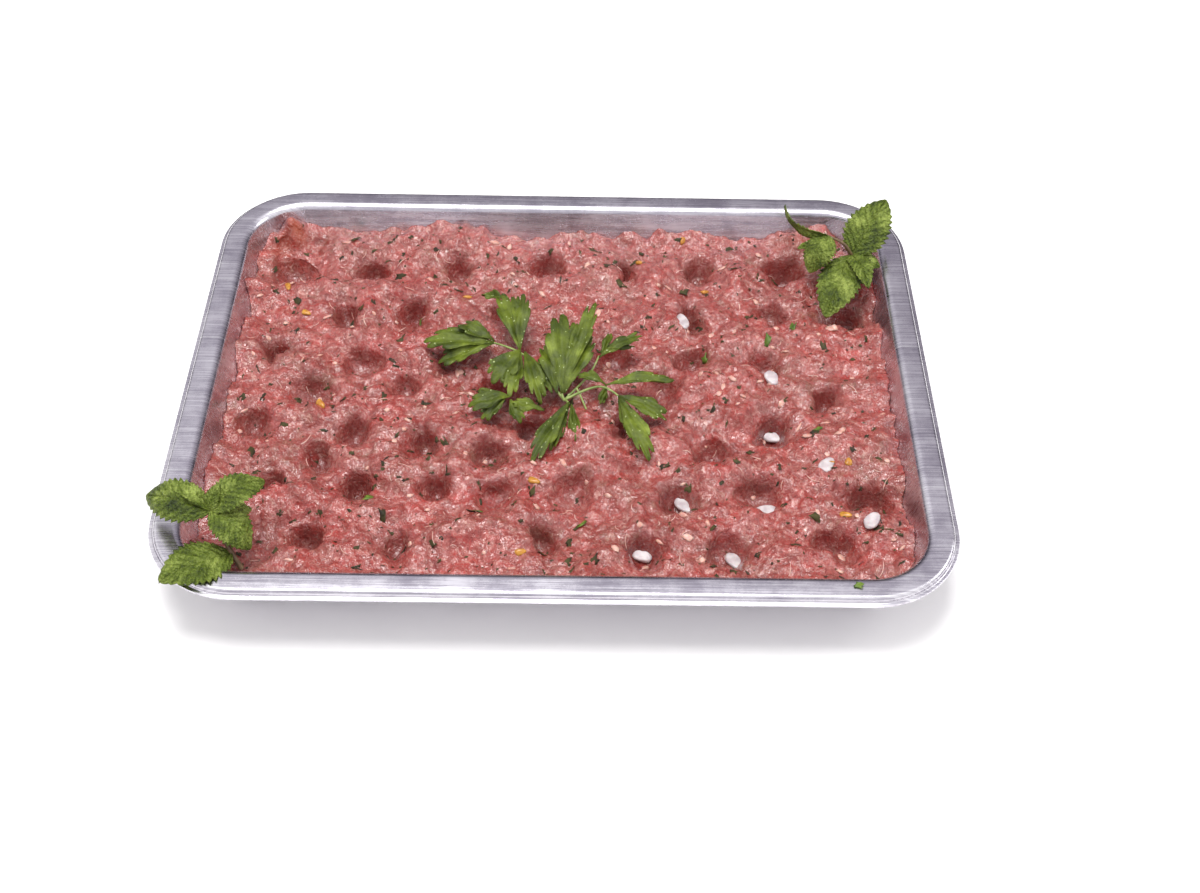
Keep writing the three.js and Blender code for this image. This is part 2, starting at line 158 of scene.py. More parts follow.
def shift(tree, operation, *vectors):
    """A sum on vectors."""
    return add(tree, "ShaderNodeVectorMath", dict(enumerate(vectors)), operation=operation).outputs[0]


def remap(tree, value, low, high, to_low, to_high):
    """Stretches the span from low to high into another, and holds the value inside it."""
    spans = {"From Min": low, "From Max": high, "To Min": to_low, "To Max": to_high}
    return add(tree, "ShaderNodeMapRange", {"Value": value, **spans}).outputs[0]


def ramp(tree, value, *stops):
    """A colour ramp. Each stop is a place from 0 to 1 and its colour."""
    return add(tree, "ShaderNodeValToRGB", {0: value}, stops).outputs[0]


def mix(tree, share, first, second, blend_type="MIX"):
    """Two colours, mixed by a share of the second or multiplied."""
    inputs = {"Factor": share, "A": first, "B": second}
    return add(tree, "ShaderNodeMix", inputs, data_type="RGBA", blend_type=blend_type).outputs["Result"]


def cloud(tree, place, scale, detail=2, roughness=0.5):
    """The outputs of a noise texture."""
    inputs = {"Vector": place, "Scale": scale, "Detail": detail, "Roughness": roughness}
    return add(tree, "ShaderNodeTexNoise", inputs).outputs


def parts_of(tree, colours):
    """The three channels of a colour."""
    return add(tree, "ShaderNodeSeparateColor", {0: colours}).outputs


def raised(tree, height, strength, distance):
    """The normal of a bump. Its distance is in mm."""
    inputs = {"Height": height, "Strength": strength, "Distance": distance * MM}
    return add(tree, "ShaderNodeBump", inputs).outputs[0]


def new_material(name):
    """A material with a Principled shader: its node tree, that shader, and places in mm."""
    material = bpy.data.materials.new(name)
    material.use_nodes = True
    tree = material.node_tree
    print("material:", name)
    return material, tree, tree.nodes["Principled BSDF"]


def object_mm(tree):
    """The object's own coordinates, in millimetres, so that a pattern's scale is in 1/mm."""
    place = add(tree, "ShaderNodeTexCoord", {}).outputs["Object"]
    return add(tree, "ShaderNodeVectorMath", {0: place, "Scale": 1 / MM}, operation="SCALE").outputs[0]


# %% [markdown]
# ## Camera, floor and light
#
# The camera looks down at the long side from a little over arm's length, with a normal lens. The
# floor is pale, and a dome gives soft light from all round. The tray's rim mirrors the dome: its
# round bends show the part overhead and in front, which is white, and its flat top shows the part
# behind, which falls off through pale lavender to grey. A dark horizon behind gives the rim an edge.
# A half-metre softbox overhead gives wet meat its broad sheen, and a smaller one stands to the right.

# %% Camera
VIEW_ELEVATION = radians(47.7)
VIEW_AZIMUTH = radians(-0.685)
VIEW_ROLL = radians(1.26)
VIEW_DISTANCE = 609 * MM
VIEW_LENS = 46.4
AIM = Vector((16.65, -39.4, 27.5)) * MM

back = Vector((
    sin(VIEW_AZIMUTH) * cos(VIEW_ELEVATION),
    -cos(VIEW_AZIMUTH) * cos(VIEW_ELEVATION),
    sin(VIEW_ELEVATION),
))
level = Vector((cos(VIEW_AZIMUTH), sin(VIEW_AZIMUTH), 0))
right = (Matrix.Rotation(VIEW_ROLL, 3, back) @ level).normalized()
turned = Matrix((right, back.cross(right), back)).transposed()
bpy.ops.object.camera_add(location=AIM + back * VIEW_DISTANCE, rotation=turned.to_euler())
camera = bpy.context.object
camera.data.lens = VIEW_LENS
camera.data.clip_start = 10 * MM
bpy.context.scene.camera = camera
bpy.context.scene.view_settings.view_transform = "Standard"
print("camera at", [round(c / MM) for c in camera.location], "mm")

# %% Floor
bpy.ops.mesh.primitive_plane_add(size=6)
floor = started("studio_floor")
paper, tree, shader = new_material("matt_paper_backdrop")
feed(tree, shader, {"Base Color": colour("#f6f5f4"), "Roughness": 0.9})
floor.data.materials.append(paper)

# %% Light
SKY_STRENGTH = 1.2
SKY_LEAN = 0.3  # how far the falling off behind leans to one side
WALL_LEAN_BACK = -0.3
SKY_STOPS = [  # from straight in front (0) to straight behind (1)
    (0.1, "#cfccd3"), (0.3, "#ffffff"), (0.67, "#ffffff"), (0.76, "#bbb8c1"),
    (0.82, "#b9b5bf"), (0.88, "#9b969f"), (0.93, "#8f8a95"),
]

world = bpy.data.worlds.new("studio_dome")
world.use_nodes = True
bpy.context.scene.world = world
tree = world.node_tree
direction = add(tree, "ShaderNodeTexCoord", {}).outputs["Generated"]
split = add(tree, "ShaderNodeSeparateXYZ", {0: direction}).outputs
leaning = calc(tree, "MULTIPLY_ADD", split["X"], SKY_LEAN, split["Y"])
sky = ramp(tree, remap(tree, leaning, -1, 1, 0, 1), *SKY_STOPS)
height = calc(tree, "MULTIPLY_ADD", split["Y"], WALL_LEAN_BACK, split["Z"])
horizon = ramp(tree, height, (0.0, "#514a58"), (0.35, "#ffffff"))
dome = mix(tree, 1.0, sky, horizon, "MULTIPLY")
feed(tree, tree.nodes["Background"], {"Color": dome, "Strength": SKY_STRENGTH})


def softbox(name, place, size, watts):
    """A square area light that points at the mince in the tray's middle."""
    place = Vector(place)
    turn = (place - Vector((0, 0, 0.02))).to_track_quat("Z", "Y")
    bpy.ops.object.light_add(type="AREA", location=place, rotation=turn.to_euler())
    light = bpy.context.object
    light.name = name
    light.data.size = size
    light.data.energy = watts
    print(f"{name}: {size} m square, {watts} W, {place.length:.2f} m away")


softbox("softbox_over", (-0.08, 0.02, 1.15), 0.5, 11)
softbox("softbox_right", (0.95, 0.15, 0.7), 0.35, 2)

# %% [markdown]
# ## The tray
#
# The real tray is pressed from one sheet of aluminium about 1 mm thick. By hand it can be made as
# the press makes it: a flat sheet with rounded corners, then ring after ring set in from the edge
# and raised or lowered, which is Blender's inset. Each ring follows the corners by itself. Solidify
# then gives the sheet its thickness.

# %% Tray
tray_low, tray_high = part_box("tray")
TRAY_WIDTH = tray_high.x - tray_low.x
TRAY_DEPTH = tray_high.y - tray_low.y
TRAY_HEIGHT = tray_high.z
CORNER_RADIUS = 36 * MM
SHEET = 1 * MM
LIP = 1 * MM
LIP_FILLET = 0.6 * MM
SKIRT = 0.3 * MM
SKIRT_ANGLE = radians(80)
OUTER_BEND = 1.7 * MM
FLANGE = 5.7 * MM
INNER_BEND = 3.5 * MM
WALL_ANGLE = radians(72)
FLOOR_FILLET = 7 * MM
LIP_HEIGHT = (
    TRAY_HEIGHT - (LIP_FILLET + OUTER_BEND) * (1 - cos(SKIRT_ANGLE)) - SKIRT * sin(SKIRT_ANGLE)
)
CORNER_FACETS = 20
EDGE_CUTS = 15
RAW_EDGE = 0.2 * MM  # the bevel on the edge of the sheet


def straight(length, heading):
    """One step along a straight."""
    return [(length * cos(heading), length * sin(heading))]


def bend(radius, start, turn, facets):
    """Chords of an arc, each as a step inwards and a step up."""
    chord = 2 * radius * sin(abs(turn) / facets / 2)
    headings = [start + turn * (i + 0.5) / facets for i in range(facets)]
    return [(chord * cos(a), chord * sin(a)) for a in headings]


def rim_steps():
    """The sheet's upper face from the lip to the top of its straight wall, as steps inwards and up."""
    return (
        straight(LIP, 0)
        + bend(LIP_FILLET, 0, SKIRT_ANGLE, 4)
        + straight(SKIRT, SKIRT_ANGLE)
        + bend(OUTER_BEND, SKIRT_ANGLE, -SKIRT_ANGLE, 8)
        + straight(FLANGE, 0)
        + bend(INNER_BEND, 0, -WALL_ANGLE, 10)
    )


def press_steps():
    """The whole upper face: the rim, the straight wall and the fillet round the floor."""
    rim = rim_steps()
    fillet = bend(FLOOR_FILLET, -WALL_ANGLE, WALL_ANGLE, 8)
    drop = LIP_HEIGHT + sum(up for _, up in rim + fillet) - SHEET
    return rim + straight(drop / sin(WALL_ANGLE), -WALL_ANGLE) + fillet


bpy.ops.mesh.primitive_plane_add(size=1, location=(0, 0, LIP_HEIGHT))
bpy.context.object.scale = (TRAY_WIDTH, TRAY_DEPTH, 1)
tray = started("tray_sheet")
bpy.ops.object.mode_set(mode="EDIT")
pick(tray, "verts", lambda vertex: True)
bpy.ops.mesh.bevel(offset=CORNER_RADIUS, segments=CORNER_FACETS, affect="VERTICES")
pick(tray, "edges", lambda edge: edge.calc_length() > CORNER_RADIUS)
bpy.ops.mesh.subdivide(number_cuts=EDGE_CUTS)
pick(tray, "faces", lambda face: True)
for step_in, step_up in press_steps():
    bpy.ops.mesh.inset(thickness=step_in, depth=step_up)
bpy.ops.object.mode_set(mode="OBJECT")
finish_with(tray, "SOLIDIFY", thickness=SHEET, offset=-1, use_even_offset=True)
finish_with(tray, "BEVEL", width=RAW_EDGE, segments=2, limit_method="ANGLE", angle_limit=radians(50))
only(tray)
bpy.ops.object.shade_smooth_by_angle(angle=radians(40))
report(tray)

# %% [markdown]
# ### Rolled aluminium
#
# The sheet was rolled flat before it was pressed, which leaves fine lines that all run one way, here
# along the tray's long side. A few scratches run with them, and washing has left faint smudges. The
# lines are really about 0.1 mm apart, and are drawn here at about 0.5 mm so that they show.


# %% Tray's finish
LINE_STRETCH = (0.015, 1, 0.1)  # the lines run along X, and fade less over the sloping walls


def rolled_aluminium():
    material, tree, shader = new_material("rolled_aluminium")
    place = object_mm(tree)
    lines = add(tree, "ShaderNodeMapping", {"Vector": place, "Scale": LINE_STRETCH}).outputs[0]
    fine = cloud(tree, lines, 2.2, 3, 0.75)["Fac"]
    broad = cloud(tree, lines, 0.5)["Fac"]
    smudge = cloud(tree, place, 0.06, 6, 0.65)["Fac"]
    tint = ramp(tree, fine, (0.32, "#c2bfc7"), (0.5, "#dfdce2"), (0.68, "#f4f2f6"))
    scratch = remap(tree, broad, 0.66, 0.7, 0, 0.7)
    scratched = mix(tree, scratch, tint, colour("#ffffff"))
    smudged = ramp(tree, smudge, (0.35, "#dedce1"), (0.5, "#f3f2f4"), (0.65, "#ffffff"))
    uneven = calc(tree, "ADD", fine, smudge)
    feed(tree, shader, {
        "Base Color": mix(tree, 1.0, scratched, smudged, "MULTIPLY"),
        "Roughness": remap(tree, uneven, 0.7, 1.3, 0.2, 0.34),
        "Normal": raised(tree, fine, 0.12, 0.1),
        "Metallic": 1,
    })
    return material


tray.data.materials.append(rolled_aluminium())
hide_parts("tray")
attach(tray, BODY)

# %% [markdown]
# ## The mince
#
# The slab was pressed flat into the tray and then dimpled with the fingertips. It starts as a grid,
# coarse enough to shape by hand: its corners are drawn in to follow the tray, and each press is one
# vertex pushed down with proportional editing: once for the wide dip, once for the slope of the pit
# and once for its steep end. Only then is it made fine, and the strands are raised over it.

# %% The slab and its presses
mince_low, mince_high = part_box("mince")
WALL_GAP = 0.12 * MM
HALF_X = mince_high.x
HALF_Y = mince_high.y
EDGE_RADIUS = CORNER_RADIUS - (TRAY_WIDTH / 2 - HALF_X)
LEVEL = 19.0 * MM
FOOT_LEVEL = 6.0 * MM
FLOOR_LEVEL = mince_low.z
CELL = 3.1 * MM
FINER = {"levels": 1, "render_levels": 1, "boundary_smooth": "PRESERVE_CORNERS"}

DIP_RADIUS = 20 * MM
DIP_DEPTH = 3.4 * MM
PIT_RADIUS = 10 * MM
PIT_DEPTH = 9.4 * MM
PIT_SLANT = 3.2 * MM  # the fingertips came in from the front and pushed each pit's back wall steep

STRAY_X = 1.5  # in mm, how far a press may lie from its place in the row
STRAY_Y = 3
WIDTH_CHANGE = 0.12
DEPTH_CHANGE = 0.2

# One row of presses for each line, from the back of the tray to the front: y, and each x, in mm.
PRESS_ROWS = [
    (78, (-122, -86, -47, -8, 28, 62, 100)),
    (47, (-96, -64, -27, 55, 92, 122)),
    (21, (-123, -84, -46, 23, 56, 86)),
    (2, (-104, -65, -24, 45, 110)),
    (-20, (-126, -82, -10, 28, 86)),
    (-32, (-97, -57, -28, 62)),
    (-54, (-112, -80, -47, -24, 8, 48, 80, 124)),
    (-80, (-95, -60, -3, 33, 66, 108)),
]

# Mince left standing against the wall in the two back corners: x, y, height and radius, in mm.
CORNER_HEAPS = [(-121, 94, 9.5, 6), (-127, 90, 4, 8), (-134, 82, 2, 9), (106, 96, 3.5, 15), (96, 97, 2, 7)]
TALL_HEAP = 9  # in mm: a heap as high as this has dried and browned all through


def wobble(seed):
    """A repeatable number from -1 to 1, the one that the CAD model's presses use."""
    return 2 * ((sin(seed * 12.9898) * 43758.5453) % 1) - 1


def all_presses():
    """Every press as its place, its width and its depth, the last two as shares."""
    presses = []
    for row, (y, xs) in enumerate(PRESS_ROWS):
        for i, x in enumerate(xs):
            seed = 10 * row + i + 1
            place = Vector((x + STRAY_X * wobble(seed), y + STRAY_Y * wobble(seed + 0.3), 0)) * MM
            width = 1 + WIDTH_CHANGE * wobble(seed + 0.5)
            presses.append((place, width, 1 + DEPTH_CHANGE * wobble(seed + 0.7)))
    return presses


def round_corner(point):
    """Draws a square corner in to a quarter circle, leaving its two inner sides where they are."""
    p = (abs(point.x) - (HALF_X - EDGE_RADIUS)) / EDGE_RADIUS
    q = (abs(point.y) - (HALF_Y - EDGE_RADIUS)) / EDGE_RADIUS
    if p > 0 and q > 0:
        point.x = copysign(HALF_X - EDGE_RADIUS + EDGE_RADIUS * p * sqrt(1 - q * q / 2), point.x)
        point.y = copysign(HALF_Y - EDGE_RADIUS + EDGE_RADIUS * q * sqrt(1 - p * p / 2), point.y)


def push(piece, place, move, radius, falloff):
    """Moves the vertex nearest to a place, and its neighbours with it by proportional editing."""
    work = bmesh.from_edit_mesh(piece.data)
    bpy.ops.mesh.select_all(action="DESELECT")
    nearest = min(work.verts, key=lambda v: (v.co.x - place.x) ** 2 + (v.co.y - place.y) ** 2)
    nearest.select_set(True)
    bpy.ops.transform.translate(
        value=move, use_proportional_edit=True, proportional_size=radius, proportional_edit_falloff=falloff
    )


bpy.ops.mesh.primitive_grid_add(
    x_subdivisions=round(2 * HALF_X / CELL), y_subdivisions=round(2 * HALF_Y / CELL), size=1, location=(0, 0, LEVEL)
)
bpy.context.object.scale = (2 * HALF_X, 2 * HALF_Y, 1)
mince = started("mince_slab")
for vertex in mince.data.vertices:
    round_corner(vertex.co)
finish_with(mince, "SUBSURF", **FINER)

presses = all_presses()
bpy.ops.object.mode_set(mode="EDIT")
bpy.ops.mesh.select_mode(type="VERT")
for place, width, depth in presses:
    push(mince, place, (0, 0, -DIP_DEPTH * depth), DIP_RADIUS * width, "SMOOTH")
    push(mince, place, (0, PIT_SLANT, -0.5 * PIT_DEPTH * depth), PIT_RADIUS * width, "SMOOTH")
    push(mince, place, (0, 0, -0.5 * PIT_DEPTH * depth), 0.75 * PIT_RADIUS * width, "SPHERE")
for x, y, height, radius in CORNER_HEAPS:
    out = Vector((x, y, 0)).normalized() * height / tan(WALL_ANGLE)
    push(mince, Vector((x, y, 0)) * MM, (out + Vector((0, 0, height))) * MM, 1.4 * radius * MM, "SHARP")
bpy.ops.object.mode_set(mode="OBJECT")
finish_with(mince, "SUBSURF", **FINER)
print(len(presses), "presses and", len(CORNER_HEAPS), "heaps")

# %% [markdown]
# ### Strands
#
# Mince leaves the mincer as soft strands, which the hand smears flat, here to about 2.4 mm wide.
# Voronoi cells stand for the smears: inside each cell the strands run their own way. A fingertip
# smooths part of it away.


# %% Relief
SWIRL = 16 * MM
SWIRL_REACH = 3.2 * MM
ROLL_LENGTH = 34 * MM
ROLL_WIDTH = 17 * MM
ROLL_RISE = 7.2 * MM
LUMP = 9 * MM
LUMP_RISE = 3.1 * MM
SMEAR = 11 * MM
STRAND_WIDTH = 2.4 * MM
STRAND_LENGTH = 9 * MM
STRAND_RISE = 0.9 * MM
GRAIN = 1.9 * MM
GRAIN_RISE = 0.3 * MM
RAGGED = 11 * MM
RAGGED_RISE = 2.4 * MM
RAGGED_REACH = 6 * MM
WALL_LEAN = 1 / tan(WALL_ANGLE)
EDGE_CLOSE = 1.1 * MM
SMOOTHED = 0.55  # share of the relief that a fingertip smooths away


def edge_of(point):
    """How far inside the slab's outline a point is, and the way out."""
    p = abs(point.x) - (HALF_X - EDGE_RADIUS)
    q = abs(point.y) - (HALF_Y - EDGE_RADIUS)
    if p > 0 and q > 0:
        out = Vector((p, q)).normalized()
        distance = EDGE_RADIUS - hypot(p, q)
    else:
        out = Vector((1, 0)) if p > q else Vector((0, 1))
        distance = EDGE_RADIUS - max(p, q)
    return distance, Vector((copysign(out.x, point.x), copysign(out.y, point.y), 0))


def strands(point, smear, seed):
    """Height from 0 to 1 of strands that run one way in each smear."""
    shifted = Vector((point.x, point.y, 0)) / smear + Vector((seed, 2 * seed, 0))
    centre = noise.voronoi(shifted)[1][0]
    angle = 10 * noise.cell(centre * 97.3)
    local = (shifted - centre) * smear
    across = local.x * cos(angle) - local.y * sin(angle)
    along = local.x * sin(angle) + local.y * cos(angle)
    wave = noise.noise(Vector((across / STRAND_WIDTH, along / STRAND_LENGTH, 31 * noise.cell(centre * 53.1))))
    return 1 - abs(wave) * 2


def relief(point):
    """How far the mince stands up at a point: long rolls, lumps, strands and grain."""
    flat = Vector((point.x, point.y, 0))
    roll = noise.noise(Vector((point.x / ROLL_LENGTH, point.y / ROLL_WIDTH, 3)))
    lump = noise.noise(flat / LUMP) + 0.5 * noise.noise(flat / LUMP * 2.1)
    curled = flat + 0.35 * SMEAR * noise.noise_vector(flat / SMEAR)
    smeared = 0.6 * strands(curled, SMEAR, 0) + 0.4 * strands(curled, 0.6 * SMEAR, 5)
    grain = noise.noise(flat / GRAIN)
    return ROLL_RISE * roll + LUMP_RISE * lump + STRAND_RISE * (smeared - 0.5) + GRAIN_RISE * grain


def stirred(x, y):
    """Which way, and how much, the mince has been stirred at a place."""
    return noise.noise_vector(Vector((x, y, 0)) / SWIRL)


mesh = mince.data
for vertex in mesh.vertices:
    distance, _ = edge_of(vertex.co)
    swirl = stirred(vertex.co.x, vertex.co.y) * SWIRL_REACH
    inner = min(max(distance / (2 * RAGGED_REACH), 0), 1)
    vertex.co.x += swirl.x * inner
    vertex.co.y += swirl.y * inner
mesh.update()


def press_depths(vertices):
    """How deep in a press each vertex lies, as a share: 1 at the bottom, 0 between presses."""
    points = np.array([v.co for v in vertices])
    unswirled = points - np.array([stirred(x, y) for x, y, _ in points]) * SWIRL_REACH
    depths = np.zeros(len(points))
    for place, width, depth in presses:
        distance = np.hypot(unswirled[:, 0] - place.x, 1.15 * (unswirled[:, 1] - place.y - PIT_SLANT))
        pit = np.exp(-((distance / (0.63 * PIT_RADIUS * width)) ** 4))
        slope = np.exp(-((distance / (1.25 * PIT_RADIUS * width)) ** 2))
        depths = np.maximum(depths, depth * (0.65 * pit + 0.35 * slope))
    return depths


DEEPEST = 3 * MM  # no press goes lower than this
WALL_TOP = TRAY_HEIGHT - INNER_BEND * (1 - cos(WALL_ANGLE))
WALL_TOP_INSET = sum(step_in for step_in, _ in rim_steps())


def wall_inset(z):
    """How far inside the lip's outline the wall's inner face is, at a height."""
    return WALL_TOP_INSET + (WALL_TOP - z) * WALL_LEAN


depths = press_depths(mesh.vertices)
normals = [v.normal.copy() for v in mesh.vertices]
for vertex, normal, depth in zip(mesh.vertices, normals, depths):
    distance, out = edge_of(vertex.co)
    ragged = noise.noise(Vector((vertex.co.x, vertex.co.y, 0)) / RAGGED) + 0.25
    near = exp(-((distance / RAGGED_REACH) ** 2))
    rise = relief(vertex.co) * (1 - SMOOTHED * min(depth, 1))
    vertex.co += normal * rise
    lift = RAGGED_RISE * ragged * near
    climb = exp(-((distance / (0.3 * RAGGED_REACH)) ** 2))
    vertex.co.z += lift
    vertex.co += out * ((lift + rise) * WALL_LEAN + EDGE_CLOSE) * climb
    distance, out = edge_of(vertex.co)
    room = distance + TRAY_WIDTH / 2 - HALF_X - wall_inset(vertex.co.z) - WALL_GAP
    vertex.co += out * min(room, 0)
    vertex.co.z = max(vertex.co.z, DEEPEST)
heights = [vertex.co.z / MM for vertex in mesh.vertices]
print(f"mince top: {len(heights)} vertices, {min(heights):.1f} to {max(heights):.1f} mm high")

# %% [markdown]
# ### Sides
#
# The slab's sides follow the tray's wall down. The open edge is extruded twice, and each time scaled
# flat to its height and in to the wall, and the last ring is filled. A closed skin that faces inwards
# has a negative volume, and is turned over.


# %% Sides and underside
FOOT_GAP = 0.2 * MM
UNDERSIDE_INSET = 6 * MM


def extrude_edge_to(z, inset):
    """Extrudes the selected edge ring to a level ring at a height, set in from the lip's outline."""
    bpy.ops.mesh.extrude_region_move()
    work = bmesh.from_edit_mesh(mince.data)
    now_x = max(v.co.x for v in work.verts if v.select)
    now_y = max(v.co.y for v in work.verts if v.select)
    shrink = ((TRAY_WIDTH / 2 - inset) / now_x, (TRAY_DEPTH / 2 - inset) / now_y, 0)
    bpy.ops.transform.resize(value=shrink, center_override=(0, 0, z))


only(mince)
bpy.ops.object.mode_set(mode="EDIT")
pick(mince, "edges", lambda edge: edge.is_boundary)
extrude_edge_to(FOOT_LEVEL, wall_inset(FOOT_LEVEL) + WALL_GAP + FOOT_GAP)
extrude_edge_to(FLOOR_LEVEL, wall_inset(FOOT_LEVEL) + UNDERSIDE_INSET)
bpy.ops.mesh.edge_face_add()
bpy.ops.mesh.select_all(action="SELECT")
bpy.ops.mesh.normals_make_consistent(inside=False)
if bmesh.from_edit_mesh(mesh).calc_volume(signed=True) < 0:
    bpy.ops.mesh.flip_normals()
bpy.ops.object.mode_set(mode="OBJECT")
only(mince)
bpy.ops.object.shade_smooth()
report(mince)

# %% [markdown]
# ### Raw meat
#
# Lean mince is a rosy red that turns maroon in the presses: partly the wet meat's own darker colour,
# partly painted shade. Pale fat is smeared through it in wisps, with a few whole specks. Light goes a
# few millimetres into meat, and its wet skin gives small sharp highlights. The pattern's cells match
# the strands: about 1 mm wide and a few millimetres long.

# %% Where the mince is pressed, and where it has browned
# The press attribute holds how deep each vertex lies in a press; the meat's finish paints shade with it.
press_depth = mesh.attributes.new("press", "FLOAT", "POINT")
browned = mesh.attributes.new("browned", "FLOAT", "POINT")
points = np.array([v.co for v in mesh.vertices])
press_depth.data.foreach_set("value", press_depths(mesh.vertices))
heaps = np.zeros(len(points))
for x, y, height, radius in CORNER_HEAPS:
    distance = np.hypot(points[:, 0] - x * MM, points[:, 1] - y * MM)
    heaps = np.maximum(heaps, min(height / TALL_HEAP, 1) * np.exp(-((distance / (0.6 * radius * MM)) ** 2)))
browned.data.foreach_set("value", heaps)
print(f"browned: {np.mean(heaps > 0.5):.1%} of the vertices")


# %% Mince's finish
def fibres(tree, place, cell_scale, scale, seed):
    """Noise that is drawn out into fibres, another way in each smear."""
    moved = shift(tree, "ADD", place, (seed, seed, 0))
    smear = add(tree, "ShaderNodeTexVoronoi", {"Vector": moved, "Scale": cell_scale}).outputs
    local = shift(tree, "SUBTRACT", moved, smear["Position"])
    angle = calc(tree, "MULTIPLY", parts_of(tree, smear["Color"])[0], 6.28)
    turned = add(tree, "ShaderNodeVectorRotate", {"Vector": local, "Angle": angle}, rotation_type="Z_AXIS")
    drawn_out = shift(tree, "MULTIPLY", turned.outputs[0], (1, 0.2, 0.6))
    apart = shift(tree, "MULTIPLY_ADD", smear["Color"], (37, 37, 37), drawn_out)
    return cloud(tree, apart, scale, 1)["Fac"]


def raw_mince():
    material, tree, shader = new_material("raw_minced_meat")
    place = object_mm(tree)
    wander = cloud(tree, place, 0.28)["Color"]
    drift = shift(tree, "SUBTRACT", wander, (0.5, 0.5, 0.5))
    warped = shift(tree, "MULTIPLY_ADD", drift, (7, 7, 7), place)
    coarse, middle, thin = (
        fibres(tree, warped, *fibre) for fibre in ((0.13, 0.75, 0), (0.2, 1.25, 40), (0.3, 2.1, 80))
    )
    woven = calc(tree, "MULTIPLY_ADD", thin, 0.8, calc(tree, "ADD", coarse, middle))
    streaks = calc(tree, "MULTIPLY", woven, 1 / 2.8)

    # Lean meat: patches of tone and hue, with single grains in them.
    broad = cloud(tree, place, 0.06, 3)["Color"]
    middling = cloud(tree, warped, 0.26, 4, 0.65)["Color"]
    tones = parts_of(tree, mix(tree, 0.42, middling, broad))
    flesh = ramp(tree, tones[0], (0.36, "#521814"), (0.45, "#7a2b26"), (0.52, "#8f3c38"), (0.6, "#a04e4a"),
                 (0.68, "#b56e67"))
    hues = ramp(tree, tones[1], (0.36, "#b33129"), (0.45, "#9d423a"), (0.55, "#8f4e46"), (0.64, "#80614c"))
    tinted = mix(tree, 0.62, flesh, hues)
    grains = add(tree, "ShaderNodeTexVoronoi", {"Vector": warped, "Scale": 0.4, "Smoothness": 0.3},
                 feature="SMOOTH_F1")
    grain_tone = ramp(tree, parts_of(tree, grains.outputs["Color"])[0], (0.1, "#742520"), (0.35, "#9d3831"),
                      (0.6, "#a74f47"), (0.8, "#b06961"), (0.95, "#ca9287"))
    grained = mix(tree, 0.2, tinted, grain_tone)

    # Wisps of fat along the fibres, painted shade in the grooves between them, maroon presses that are
    # partly painted shade, and browned heaps.
    pit_tone_and_shade, heaped = (
        add(tree, "ShaderNodeAttribute", {}, attribute_name=name).outputs["Fac"] for name in ("press", "browned")
    )
    tone = grained
    for share, code in (
        (remap(tree, streaks, 0.53, 0.66, 0, 0.7), "#c99a8e"),
        # painted shade where the strands' bump is low, in the grooves between them
        (remap(tree, streaks, 0.48, 0.38, 0, 0.75), "#6e221c"),
        # painted shade in the presses, over the wet meat's own darker colour
        (calc(tree, "MULTIPLY", pit_tone_and_shade, 0.36), "#5a161a"),
        (calc(tree, "MULTIPLY", heaped, 0.7), "#a24b29"),
    ):
        tone = mix(tree, share, tone, colour(code))

    wet = cloud(tree, place, 0.25, 3)["Fac"]
    grain = cloud(tree, place, 0.6, 1)["Fac"]
    normal = raised(tree, calc(tree, "MULTIPLY_ADD", grain, 0.45, streaks), 1.0, 0.8)
    feed(tree, shader, {
        "Base Color": tone,
        "Roughness": remap(tree, wet, 0.35, 0.65, 0.22, 0.42),
        "Normal": normal,
        "Coat Normal": normal,
        "Subsurface Weight": 0.1,
        "Subsurface Radius": (1.0, 0.35, 0.25),
        "Subsurface Scale": 2 * MM,
        "IOR": 1.4,
        "Coat Weight": 1,
        "Coat Roughness": 0.08,
    })
    return material


mince.data.materials.append(raw_mince())
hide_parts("mince")
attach(mince, BODY)

# %% [markdown]
# ## Leaves
#
# A leaf is a thin blade with a midrib. It starts as a flat grid in the unit square, whose outline,
# teeth and veins come from a formula, because hand tools would need hundreds of small moves. Each
# leaf of a sprig is a copy of it, laid from the stem to its tip: arched along its length and folded
# along its midrib. Solidify makes it a closed blade.

# %% One blade of each kind
BLADE_THICKNESS = 0.35 * MM
MINT_TEETH = 12
MINT_VEINS = 8


def mint_outline(t):
    """Half the width of a mint leaf, as a share of its widest, from its stalk (0) to its tip (1)."""
    if t <= 0 or t >= 1:
        return 0.03
    tooth = (t * MINT_TEETH) % 1
    return max(sin(pi * t ** 0.85) ** 0.7 * (1 + 0.2 * (tooth - 0.5)), 0.03)


def mint_point(u, t):
    """A point of the mint leaf: straight across to its outline."""
    return u * mint_outline(t), t


def mint_relief(u, t):
    """The quilting between a mint leaf's veins, in shares of its width."""
    phase = (t - 0.3 * abs(u) ** 1.2) * MINT_VEINS
    quilt = abs(sin(pi * phase)) ** 0.6 * sin(pi * min(abs(u), 1)) ** 0.5
    midrib = -exp(-((u / 0.07) ** 2))
    return 0.032 * quilt + 0.055 * midrib


# The outline of one lobe of parsley, from the left of its stalk round to the right: across and
# along. It is a wedge that ends in blunt teeth.
LEAFLET = [
    (-0.12, 0.06), (-0.45, 0.3), (-0.78, 0.48), (-0.94, 0.54), (-1.0, 0.61), (-0.95, 0.68), (-0.76, 0.67),
    (-0.8, 0.76), (-0.76, 0.84), (-0.6, 0.86), (-0.42, 0.76), (-0.42, 0.87), (-0.3, 0.97), (-0.1, 1.0), (0.08, 0.97),
    (0.16, 0.84), (0.3, 0.92), (0.5, 0.93), (0.62, 0.85), (0.58, 0.69), (0.76, 0.71), (0.9, 0.65), (0.93, 0.57),
    (0.8, 0.49), (0.42, 0.3), (0.12, 0.06),
]


def leaflet_point(u, t):
    """A point of the leaflet: rays from its stalk (t = 0) to its outline (t = 1)."""
    steps = (u + 1) / 2 * (len(LEAFLET) - 1)
    x, y = (float(np.interp(steps, range(len(LEAFLET)), part)) for part in zip(*LEAFLET))
    return 0.05 * u * (1 - t) + x * t, y * t


